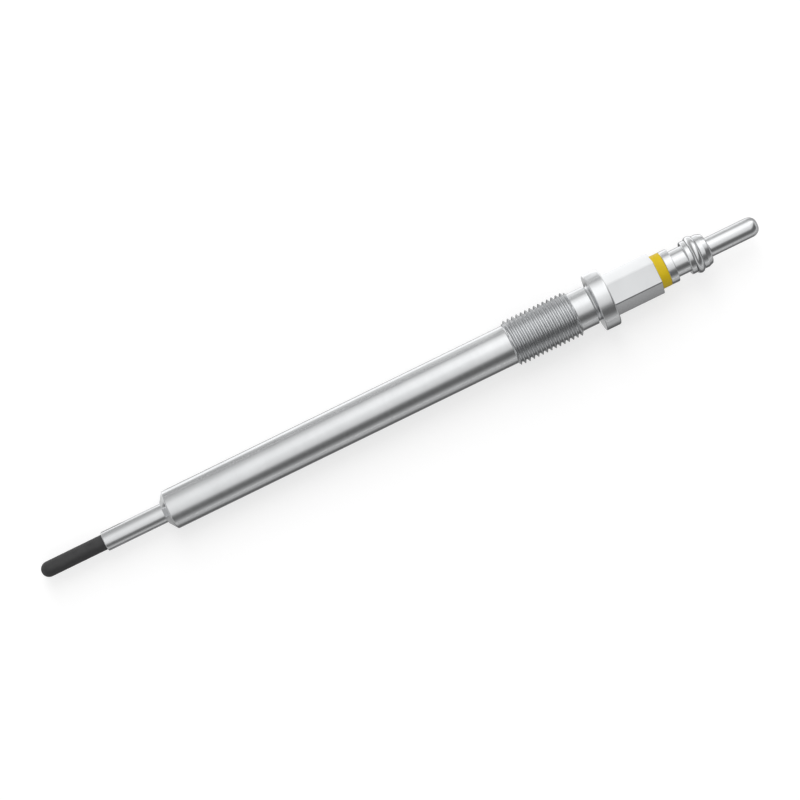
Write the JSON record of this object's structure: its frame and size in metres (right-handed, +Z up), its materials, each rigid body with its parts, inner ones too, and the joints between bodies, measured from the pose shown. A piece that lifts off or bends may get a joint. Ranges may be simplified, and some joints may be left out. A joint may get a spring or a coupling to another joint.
{
  "type": "diesel glow plug",
  "caption": "Slender glow plug for a diesel engine: steel body with thread, flange and hexagon, charcoal ceramic heater tip, yellow insulator and round pin terminal.",
  "frame": {"origin": "on the ground below the middle of the plug's length, with the plug lying on its flange's rim and on the front edge of its body", "axes": "+X runs along the plug towards the terminal, which lies a little higher than the tip; +Z is up, square to a flat of the hexagon"},
  "size_m": [0.1642, 0.0126, 0.0126],
  "materials": {
    "shell_steel": "satin, with fine turning marks",
    "tube_steel": "satin, with fine turning marks",
    "heater_ceramic": "ground charcoal ceramic",
    "terminal_steel": "smooth turned, bright",
    "ring_steel": "drawn wire, bright",
    "insulator_yellow": "moulded, satin",
    "seal_rubber": "matt",
    "lead_metal": "nickel plated",
    "rod_steel": "drawn bar"
  },
  "bodies": {
    "root": {"metal_shell": "shell_steel", "ceramic_heater": "heater_ceramic", "support_tube": "tube_steel", "contact_cap": "lead_metal", "lead_coil": "lead_metal", "centre_rod": "rod_steel", "seal_ring": "seal_rubber", "insulator_ring": "insulator_yellow", "terminal": "terminal_steel", "spring_ring": "ring_steel"}
  },
  "joints": []
}
